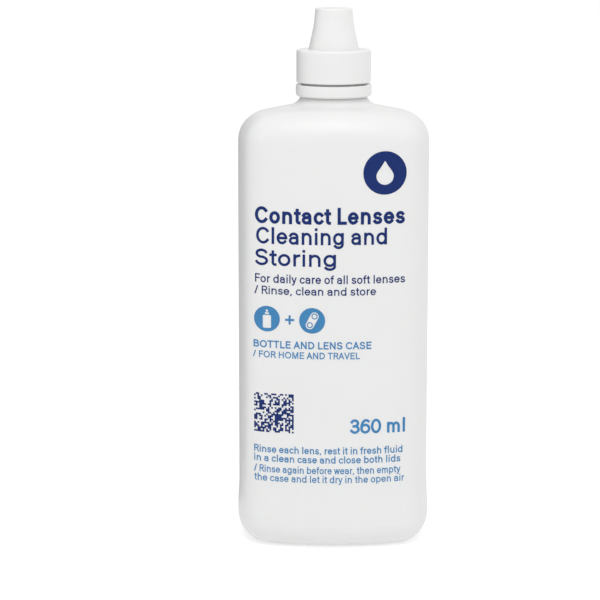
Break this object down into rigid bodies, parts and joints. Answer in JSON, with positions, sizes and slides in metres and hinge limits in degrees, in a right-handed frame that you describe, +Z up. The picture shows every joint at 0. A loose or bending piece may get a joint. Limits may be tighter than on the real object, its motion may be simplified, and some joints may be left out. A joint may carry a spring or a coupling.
{
  "type": "contact lens solution bottle",
  "caption": "Oval white bottle of contact lens solution with a rounded shoulder, a threaded neck with a dropper nozzle, a tamper band and a screw cap with a tapered spout cover.",
  "frame": {"origin": "middle of the base, on the surface the bottle stands on", "axes": "+Z up along the neck's axis, -Y out of the printed front, +X to the right seen from the front"},
  "size_m": [0.068, 0.0494, 0.1885],
  "materials": {
    "bottle_plastic": "white blow-moulded polyethylene, satin",
    "nozzle_plastic": "natural soft polyethylene, satin",
    "cap_plastic": "white moulded polypropylene, semi-gloss",
    "band_plastic": "white moulded polypropylene, semi-gloss",
    "solution": "clear saline liquid"
  },
  "bodies": {
    "bottle": {"bottle": "bottle_plastic", "nozzle": "nozzle_plastic", "lens_solution": "solution"},
    "tamper_band": {"tamper_band": "band_plastic"},
    "cap": {"cap": "cap_plastic"}
  },
  "joints": [
    {"name": "cap_turn", "type": "hinge", "parent": "bottle", "child": "tamper_band", "pos_m": [0, 0, 0.16], "axis": [0, 0, 1], "range_deg": [0, 3060]},
    {"name": "cap_rise", "type": "slide", "parent": "tamper_band", "child": "cap", "axis": [0, 0, 1], "range_m": [0, 0.027]}
  ],
  "couplings": [
    {"joint": "cap_rise", "follows": "cap_turn", "m_per_rad": 0.00050532}
  ]
}
